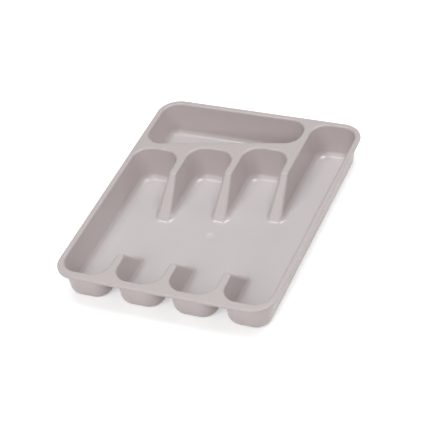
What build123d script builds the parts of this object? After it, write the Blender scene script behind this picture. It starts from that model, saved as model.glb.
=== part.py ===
from build123d import *
from functools import partial
from math import hypot
import os

# A one-piece moulded cutlery tray.
# The origin is in the middle of its underside. X runs across, Y runs to the back and Z runs up.
# All lengths are in millimetres.

# Whole moulding
tray_width = 260.0
tray_length = 330.0
tray_height = 40.6
wall = 1.8
foot_fillet = 9.0

# Lean of the walls: how far each one comes in on its way from the rim down to the floor
outer_lean = 6.0
divider_lean = 4.1
front_lean = 1.4
back_lean = 9.8

# Rim: a flat flange with a short turned-down lip, wider at the front
rim_width = 6.3
front_rim_width = 11.0
rim_corner = 26.3
lip_depth = 2.8
outer_edge_round = 1.5
inner_edge_round = 2.4

# Wide compartment at the back, behind a slanted cross wall that makes its right end the narrowest
wide_right_depth = 41.0
wide_corner_share = 0.49
wide_fillet_share = 0.41
cross_wall_top = 12.0

# Cutlery lanes: side by side, each of the first three longer than the one on its left
lane_count = 4
lane_step = 15.0
lane_foot_corner = 15.0

# Dividers between the lanes at the back: level along the top, then a ramp down to the floor
divider_top = 9.0
divider_level = 39.0
divider_ramp_run = 43.9
ramp_edge_round = 3.5
slant_share = 0.45

# Humps between the lanes at the front: level from the rim, then a steeper ramp down
hump_level = 38.3
hump_ramp_run = 36.8

# Round mark that the moulding gate leaves on the floor
gate_diameter = 6.0
gate_height = 0.5
gate_to_ramp = 22.6

# Worked out from the sizes above
wall_drop = tray_height - wall
opening_width = tray_width - 2 * rim_width
opening_corner = rim_corner - rim_width
lane_width = (opening_width - (lane_count - 1) * divider_top) / lane_count
lane_pitch = lane_width + divider_top
front_edge = front_rim_width - tray_length / 2
back_edge = tray_length / 2 - rim_width
left_edge = -opening_width / 2
wide_right_edge = left_edge + opening_width - lane_pitch
cross_slope = lane_step / lane_pitch
cross_stretch = hypot(1, cross_slope)
wide_floor_depth = wide_right_depth - back_lean - back_lean * cross_stretch
wide_rim_corner = wide_right_depth * wide_corner_share
wide_foot_corner = wide_floor_depth * wide_corner_share
wide_foot_fillet = wide_floor_depth * wide_fillet_share


def cross_wall(x):
    """Back edge of the slanted cross wall at rim level."""
    return back_edge - wide_right_depth - cross_slope * (wide_right_edge - x)


def lane_middle(index):
    """X of the middle line of a lane."""
    return left_edge + lane_width / 2 + index * lane_pitch


def lane_back(index):
    """Back edge of a lane at rim level. The last lane runs the whole length of the tray."""
    if index == lane_count - 1:
        return back_edge
    return cross_wall(lane_middle(index)) - cross_wall_top


def inward(lean, level, grow):
    """How far a leaning wall stands inside its rim-level edge at a height, less the wall if grown."""
    slope = lean / wall_drop
    return (tray_height - level) * slope - grow * hypot(1, slope)


def left_lean(index):
    """Lean of a lane's left wall, which is the tray's outer wall for the first lane."""
    return outer_lean if index == 0 else divider_lean


def right_lean(index):
    """Lean of a lane's right wall, which is the tray's outer wall for the last lane."""
    return outer_lean if index == lane_count - 1 else divider_lean


def lane_section(index, level, corner, grow):
    """Rounded rectangle of one lane at a height."""
    left = lane_middle(index) - lane_width / 2 + inward(left_lean(index), level, grow)
    right = lane_middle(index) + lane_width / 2 - inward(right_lean(index), level, grow)
    front = front_edge + inward(front_lean, level, grow)
    back = lane_back(index) - inward(back_lean, level, grow)
    outline = RectangleRounded(right - left, back - front, corner)
    return Pos((left + right) / 2, (front + back) / 2, level) * outline


def wide_section(level, corner, grow):
    """Outline of the wide compartment at a height. Its front edge follows the stepped lanes."""
    left = left_edge + inward(outer_lean, level, grow)
    right = wide_right_edge - inward(divider_lean, level, grow)
    back = back_edge - inward(back_lean, level, grow)
    cross = inward(back_lean, level, grow) * cross_stretch
    corners = Polyline(
        (left, back),
        (left, cross_wall(left) + cross),
        (right, cross_wall(right) + cross),
        (right, back),
        close=True,
    )
    outline = make_face(corners)
    return Pos(0, 0, level) * fillet(outline.vertices(), corner)


def sunk(section, top_corner, foot_corner, grow):
    """Hollow from the rim down to the floor, or the same hollow with a wall all round it."""
    low = section(wall - grow, foot_corner + grow, grow)
    high = section(tray_height, top_corner + grow, grow)
    return loft([low, high], ruled=True)


def open_floor(index, level, grow):
    """Front and back of the open space between the hump and the divider of two neighbouring lanes."""
    front = front_edge + hump_level + inward(hump_ramp_run, level, grow)
    back = lane_back(index) - divider_level - inward(divider_ramp_run, level, grow)
    return front, back


def gap_over_divider(index, grow):
    """Open space between two neighbouring lanes, in front of the divider and behind the hump."""
    floor_level = wall - grow
    top_front, top_back = open_floor(index, tray_height, grow)
    foot_front, foot_back = open_floor(index, floor_level, grow)
    profile = Polyline(
        (top_front, tray_height),
        (foot_front, floor_level),
        (foot_back, floor_level),
        (top_back, tray_height),
        close=True,
    )
    section = Plane.YZ.offset(lane_middle(index)) * make_face(profile)
    return extrude(section, amount=lane_pitch, dir=(1, 0, 0))


def round_ramp_edges(space, radius):
    """Round the long slanted edges where a ramp meets the drafted side of its divider or hump."""
    slanted = []
    for edge in space.edges():
        along = edge.tangent_at(0)
        if min(abs(along.Y), abs(along.Z)) > slant_share:
            slanted.append(edge)
    return fillet(slanted, radius)


def lanes_space(grow):
    """The four lanes with the open floor that joins them, as one solid of air, or with a wall round it."""
    space = sunk(partial(lane_section, 0), opening_corner, lane_foot_corner, grow)
    for index in range(1, lane_count):
        space = space + sunk(partial(lane_section, index), opening_corner, lane_foot_corner, grow)
    for index in range(lane_count - 1):
        space = space + gap_over_divider(index, grow)
    if not grow:
        space = round_ramp_edges(space, ramp_edge_round)
    return round_foot(space, foot_fillet + grow)


def wide_space(grow):
    """The wide compartment as a solid of air, or with a wall round it."""
    space = sunk(wide_section, wide_rim_corner, wide_foot_corner, grow)
    return round_foot(space, wide_foot_fillet + grow)


def round_foot(space, radius):
    """Round the edge all round the lowest face."""
    lowest = space.faces().sort_by(Axis.Z)[0]
    return fillet(lowest.edges(), radius)


def rim_plate():
    """The top skin with its lip, before the openings are cut."""
    outer = RectangleRounded(tray_width, tray_length, rim_corner)
    skin = extrude(Pos(0, 0, tray_height - wall) * outer, amount=wall)
    inner = offset(outer, -wall)
    lip = extrude(Pos(0, 0, tray_height - lip_depth) * (outer - inner), amount=lip_depth)
    return skin + lip


def gate_mark():
    """Low round button on the middle line, in front of the ramp of the middle divider."""
    ramp_foot = open_floor(lane_count // 2 - 1, wall, 0)[1]
    button = Cylinder(gate_diameter / 2, wall + gate_height, align=(Align.CENTER, Align.CENTER, Align.MIN))
    return Pos(0, ramp_foot - gate_to_ramp, 0) * button


def rim_top(body):
    """The flat face at rim level."""
    return body.faces().filter_by(Axis.Z).sort_by(Axis.Z)[-1]


def round_rim(body):
    """Round the edges at rim level: softly where the walls go down, tighter round the outside."""
    inside = []
    for wire in rim_top(body).inner_wires():
        inside.extend(wire.edges())
    body = fillet(inside, inner_edge_round)
    return fillet(rim_top(body).outer_wire().edges(), outer_edge_round)


def tray():
    """The whole moulding."""
    body = rim_plate() + lanes_space(wall) + wide_space(wall)
    body = body - lanes_space(0) - wide_space(0)
    body = body + gate_mark()
    return round_rim(body)


os.makedirs("parts", exist_ok=True)
result = tray()
print("solids", len(result.solids()), "volume", round(result.volume), "faces", len(result.faces()))
export_step(result, "parts/tray.step")
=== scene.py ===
import math

import bmesh
import bpy
from mathutils import Matrix, Vector


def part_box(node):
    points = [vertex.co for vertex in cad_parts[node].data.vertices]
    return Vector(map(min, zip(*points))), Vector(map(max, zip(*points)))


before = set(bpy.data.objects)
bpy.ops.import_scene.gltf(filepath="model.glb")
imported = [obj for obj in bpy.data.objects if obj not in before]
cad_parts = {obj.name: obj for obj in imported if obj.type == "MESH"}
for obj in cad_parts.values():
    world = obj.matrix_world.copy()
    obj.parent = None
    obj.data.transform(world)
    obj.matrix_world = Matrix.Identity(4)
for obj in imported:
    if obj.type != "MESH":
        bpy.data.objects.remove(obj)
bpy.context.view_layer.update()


# The tray. One injection moulding in a warm light grey polypropylene, about two millimetres thick.
# The mould was finely spark-textured, so the plastic has a soft satin sheen. The open floor was
# polished a little more than the rim, and cutlery has drawn faint hairlines along it.
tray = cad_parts["tray"]
tray_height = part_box("tray")[1][2]
floor_height = 0.0018
gate_centre = (0.0, -0.0212, floor_height)

plastic = bpy.data.materials.new("satin_polypropylene")
plastic.use_nodes = True
tree = plastic.node_tree
satin = tree.nodes["Principled BSDF"]
satin.inputs["IOR"].default_value = 1.49
satin.inputs["Specular IOR Level"].default_value = 0.5


def node(kind, label, **values):
    """Adds a shader node to the material that is being made."""
    made = tree.nodes.new(kind)
    made.label = label
    for name, value in values.items():
        setattr(made, name, value)
    return made


def link(source, target):
    """Joins an output to an input in the material that is being made."""
    tree.links.new(source, target)


def fade(label, value, low, high, at_low=0.0, at_high=1.0):
    """Goes smoothly from one number to another as a value passes between two limits."""
    made = node("ShaderNodeMapRange", label, interpolation_type="SMOOTHSTEP")
    for slot, number in zip((1, 2, 3, 4), (low, high, at_low, at_high)):
        made.inputs[slot].default_value = number
    link(value, made.inputs[0])
    return made.outputs[0]


def maths(label, operation, first, second):
    """Combines two values. The second may be a plain number."""
    made = node("ShaderNodeMath", label, operation=operation)
    link(first, made.inputs[0])
    if isinstance(second, float):
        made.inputs[1].default_value = second
    else:
        link(second, made.inputs[1])
    return made.outputs[0]


def blend(label, amount, first, second):
    """Mixes a plain colour into another colour, which may be plain too."""
    made = node("ShaderNodeMix", label, data_type="RGBA")
    link(amount, made.inputs["Factor"])
    if isinstance(first, tuple):
        made.inputs[6].default_value = first
    else:
        link(first, made.inputs[6])
    made.inputs[7].default_value = second
    return made.outputs[2]


def noise(label, where, scale, detail):
    """Cloudy noise. The scale is in blobs per metre."""
    made = node("ShaderNodeTexNoise", label)
    made.inputs["Scale"].default_value = scale
    made.inputs["Detail"].default_value = detail
    link(where, made.inputs["Vector"])
    return made.outputs["Fac"]


place = node("ShaderNodeTexCoord", "place on the tray").outputs["Object"]
split = node("ShaderNodeSeparateXYZ", "height")
link(place, split.inputs[0])
height = split.outputs["Z"]
facing = node("ShaderNodeSeparateXYZ", "facing")
link(node("ShaderNodeTexCoord", "surface").outputs["Normal"], facing.inputs[0])
facing_up = facing.outputs["Z"]

# the polished floor with the rounding at its foot
polish_full = floor_height + 0.0004
polish_gone = floor_height + 0.0062
low_down = fade("low down", height, polish_full, polish_gone, at_low=1.0, at_high=0.0)
upwards = fade("upwards", facing_up, low=0.0, high=0.3)
on_floor = maths("open floor", "MULTIPLY", low_down, upwards)
flat_floor = maths("flat floor", "MULTIPLY", on_floor, fade("flat", facing_up, low=0.55, high=0.95))

# the inner walls, the outside, and the rounded edges of the rim
upright = fade("upright", facing_up, low=0.25, high=0.80, at_low=1.0, at_high=0.0)
inside = fade("inside", facing_up, low=-0.02, high=0.03)
on_wall = maths("inner wall", "MULTIPLY", upright, inside)
outside = fade("outside", facing_up, low=-0.034, high=-0.012, at_low=1.0, at_high=0.0)
near_rim = fade("near the rim", height, tray_height - 0.0022, tray_height - 0.0004)
turned = fade("turned edge", facing_up, low=0.80, high=0.985, at_low=1.0, at_high=0.0)
rim_edge = maths("rim edge", "MULTIPLY", near_rim, turned)

# colour: painted light and shade. Each kind of surface gets its own copy of the plastic's colour: the
# outside paler for the light bounced up from the white table, the inner walls warmer for the light
# bounced between them, the flat floor paler and a little bluer than the rim, and the turned rim edges
# darker as painted shade
rim_colour = (0.488, 0.442, 0.434, 1.0)
outside_bounce_light_colour = (0.525, 0.461, 0.456, 1.0)
wall_bounce_tint_colour = (0.510, 0.447, 0.444, 1.0)
floor_colour = (0.530, 0.495, 0.498, 1.0)
edge_painted_shade_colour = (0.440, 0.405, 0.395, 1.0)
edge_painted_shade_share = 0.15
# painted light: the outside is made paler, as if lit from below by the white table
colour = blend("outside painted bounce light", outside, rim_colour, outside_bounce_light_colour)
# painted light: the inner walls are tinted warmer, as if by light bounced between them
colour = blend("wall painted bounce tint", on_wall, colour, wall_bounce_tint_colour)
colour = blend("floor colour", flat_floor, colour, floor_colour)
# painted shade: the rounded edges of the rim are darkened
edge = maths("edge painted shade share", "MULTIPLY", rim_edge, edge_painted_shade_share)
colour = blend("edge painted shade", edge, colour, edge_painted_shade_colour)

# the slight cloudiness of a moulding, and its pale specks of pigment
cloud_colour = (0.43, 0.40, 0.395, 1.0)
cloud_share = 0.10
clouds = noise("clouds", place, scale=22.0, detail=3.0)
clouds = fade("cloudiness", clouds, low=0.30, high=0.72, at_high=cloud_share)
colour = blend("clouded", clouds, colour, cloud_colour)
speck_colour = (0.64, 0.61, 0.60, 1.0)
speck_share = 0.10
specks = noise("pigment", place, scale=900.0, detail=2.0)
specks = fade("speckle", specks, low=0.42, high=0.75, at_high=speck_share)
colour = blend("speckled", specks, colour, speck_colour)

# the paler blush round the place where the plastic was shot in: partly real stress-whitening, partly
# a painted highlight for the lit near side of the gate's nub
blush_and_highlight_colour = (0.66, 0.625, 0.615, 1.0)
blush_and_highlight_share = 0.50
blush_full = 0.0025
blush_gone = 0.0065
spread = node("ShaderNodeVectorMath", "from the gate", operation="DISTANCE")
link(place, spread.inputs[0])
spread.inputs[1].default_value = gate_centre
from_gate = spread.outputs["Value"]
blush = fade("gate blush", from_gate, blush_full, blush_gone, at_low=blush_and_highlight_share, at_high=0.0)
colour = blend("blushed", blush, colour, blush_and_highlight_colour)

# hairlines along the lanes, where cutlery is slid in and lifted out
hair_colour = (0.68, 0.65, 0.64, 1.0)
hair_share = 0.16
hair_turn = math.radians(2.5)
hairs_per_metre = (1500.0, 26.0, 60.0)
along = node("ShaderNodeMapping", "stretched along the lanes", vector_type="POINT")
along.inputs["Rotation"].default_value = (0.0, 0.0, hair_turn)
along.inputs["Scale"].default_value = hairs_per_metre
link(place, along.inputs["Vector"])
hairs = noise("hairline noise", along.outputs[0], scale=1.0, detail=4.0)
hairs = fade("hairlines", hairs, low=0.66, high=0.76)
hairs = maths("hairlines on the floor", "MULTIPLY", hairs, on_floor)
hair_tint = maths("hairline share", "MULTIPLY", hairs, hair_share)
colour = blend("hairline colour", hair_tint, colour, hair_colour)
link(colour, satin.inputs["Base Color"])

# sheen: the floor is glossier than the textured rim, and uneven where it has been handled
rim_roughness = 0.34
floor_roughness = 0.18
scuff_roughness = 0.10
sheen = fade("floor roughness", on_floor, 0.0, 1.0, at_low=rim_roughness, at_high=floor_roughness)
marks = noise("handling marks", place, scale=14.0, detail=4.0)
marks = fade("handling", marks, low=0.35, high=0.75, at_low=-0.03, at_high=0.05)
sheen = maths("handled", "ADD", sheen, marks)
scuffs = maths("scuffs", "MULTIPLY", hairs, scuff_roughness)
sheen = maths("scuffed", "ADD", sheen, scuffs)
link(sheen, satin.inputs["Roughness"])

# the spark texture of the mould, with the hairlines cut into it
grain_depth = 0.00003
grain_strength = 0.30
cut_depth = -0.5
grain = noise("spark texture", place, scale=2600.0, detail=3.0)
grain = maths("grain", "ADD", grain, maths("cuts", "MULTIPLY", hairs, cut_depth))
texture = node("ShaderNodeBump", "moulded texture")
texture.inputs["Strength"].default_value = grain_strength
texture.inputs["Distance"].default_value = grain_depth
link(grain, texture.inputs["Height"])
link(texture.outputs[0], satin.inputs["Normal"])

for slot in tray.material_slots:
    slot.material = plastic


# The table top. A plain matt white sheet, four metres to each side of the tray, that the tray stands
# on. It shows white to the camera and in reflections, and it keeps the tray's soft shadow.
table_reach = 4.0
table_white = (0.86, 0.86, 0.86, 1.0)
table_lift = 0.40
white = (1.0, 1.0, 1.0, 1.0)
sheet = bmesh.new()
bmesh.ops.create_grid(sheet, x_segments=1, y_segments=1, size=table_reach)
flat = bpy.data.meshes.new("table_top")
sheet.to_mesh(flat)
sheet.free()
table = bpy.data.objects.new("table_top", flat)
bpy.context.scene.collection.objects.link(table)

paper = bpy.data.materials.new("white_table")
paper.use_nodes = True
tree = paper.node_tree
top = tree.nodes["Principled BSDF"]
top.inputs["Base Color"].default_value = table_white
top.inputs["Roughness"].default_value = 0.9
top.inputs["Specular IOR Level"].default_value = 0.1
lift = node("ShaderNodeEmission", "white to the eye")
lift.inputs["Color"].default_value = white
seen = node("ShaderNodeLightPath", "what sees it")
shown = maths("seen", "MAXIMUM", seen.outputs["Is Camera Ray"], seen.outputs["Is Glossy Ray"])
link(maths("lift", "MULTIPLY", shown, table_lift), lift.inputs["Strength"])
both = node("ShaderNodeAddShader", "table")
link(top.outputs[0], both.inputs[0])
link(lift.outputs[0], both.inputs[1])
link(both.outputs[0], tree.nodes["Material Output"].inputs["Surface"])
table.data.materials.append(paper)


# The light. A dim white room, one broad lamp high at the back right, one low in front, and two
# weaker ones: low at the right for the walls, and high at the left for the bright line at their feet.
room_strength = 0.21
room = bpy.data.worlds.new("room")
bpy.context.scene.world = room
room.use_nodes = True
room.node_tree.nodes["Background"].inputs["Color"].default_value = white
room.node_tree.nodes["Background"].inputs["Strength"].default_value = room_strength


def lamp(name, spot, size, watts):
    """Hangs a rectangular lamp that points at the middle of the tray."""
    light = bpy.data.lights.new(name, "AREA")
    light.shape = "RECTANGLE"
    light.size, light.size_y = size
    light.energy = watts
    holder = bpy.data.objects.new(name, light)
    bpy.context.scene.collection.objects.link(holder)
    holder.location = spot
    holder.rotation_euler = (-Vector(spot)).to_track_quat("-Z", "Y").to_euler()


lamp("overhead_lamp", spot=(0.56, 0.33, 1.80), size=(0.9, 0.9), watts=20.0)
lamp("front_lamp", spot=(-0.15, -1.50, 1.15), size=(1.3, 1.0), watts=16.5)
lamp("right_lamp", spot=(1.74, 0.45, 0.66), size=(0.9, 0.9), watts=5.2)
lamp("left_lamp", spot=(-0.62, -0.10, 1.78), size=(0.5, 0.5), watts=5.8)

bpy.context.scene.view_settings.view_transform = "Standard"


# The camera, at the photograph's place: in front, a little to the right and well above the tray.
# The picture is 430 pixels square, and the camera is turned slightly about its own line of sight.
picture = 430
azimuth = math.radians(27.859)
elevation = math.radians(39.781)
roll = math.radians(-9.131)
distance = 1.9436
focal_pixels = 1681.08
sensor = 36.0
aim = Vector((-0.00350, 0.00480, 0.00967))
right = Vector((math.cos(azimuth), math.sin(azimuth), 0.0))
level = Vector((math.sin(azimuth), -math.cos(azimuth), 0.0))
back = math.cos(elevation) * level + Vector((0.0, 0.0, math.sin(elevation)))
up = back.cross(right)
turn = Matrix.Rotation(roll, 3, back)
right, up = turn @ right, turn @ up
stand = aim + distance * back
lens = bpy.data.cameras.new("camera")
lens.sensor_width = sensor
lens.lens = focal_pixels * sensor / picture
camera = bpy.data.objects.new("camera", lens)
bpy.context.scene.collection.objects.link(camera)
axes = Matrix((right, up, back)).transposed().to_4x4()
camera.matrix_world = Matrix.Translation(stand) @ axes
bpy.context.scene.camera = camera
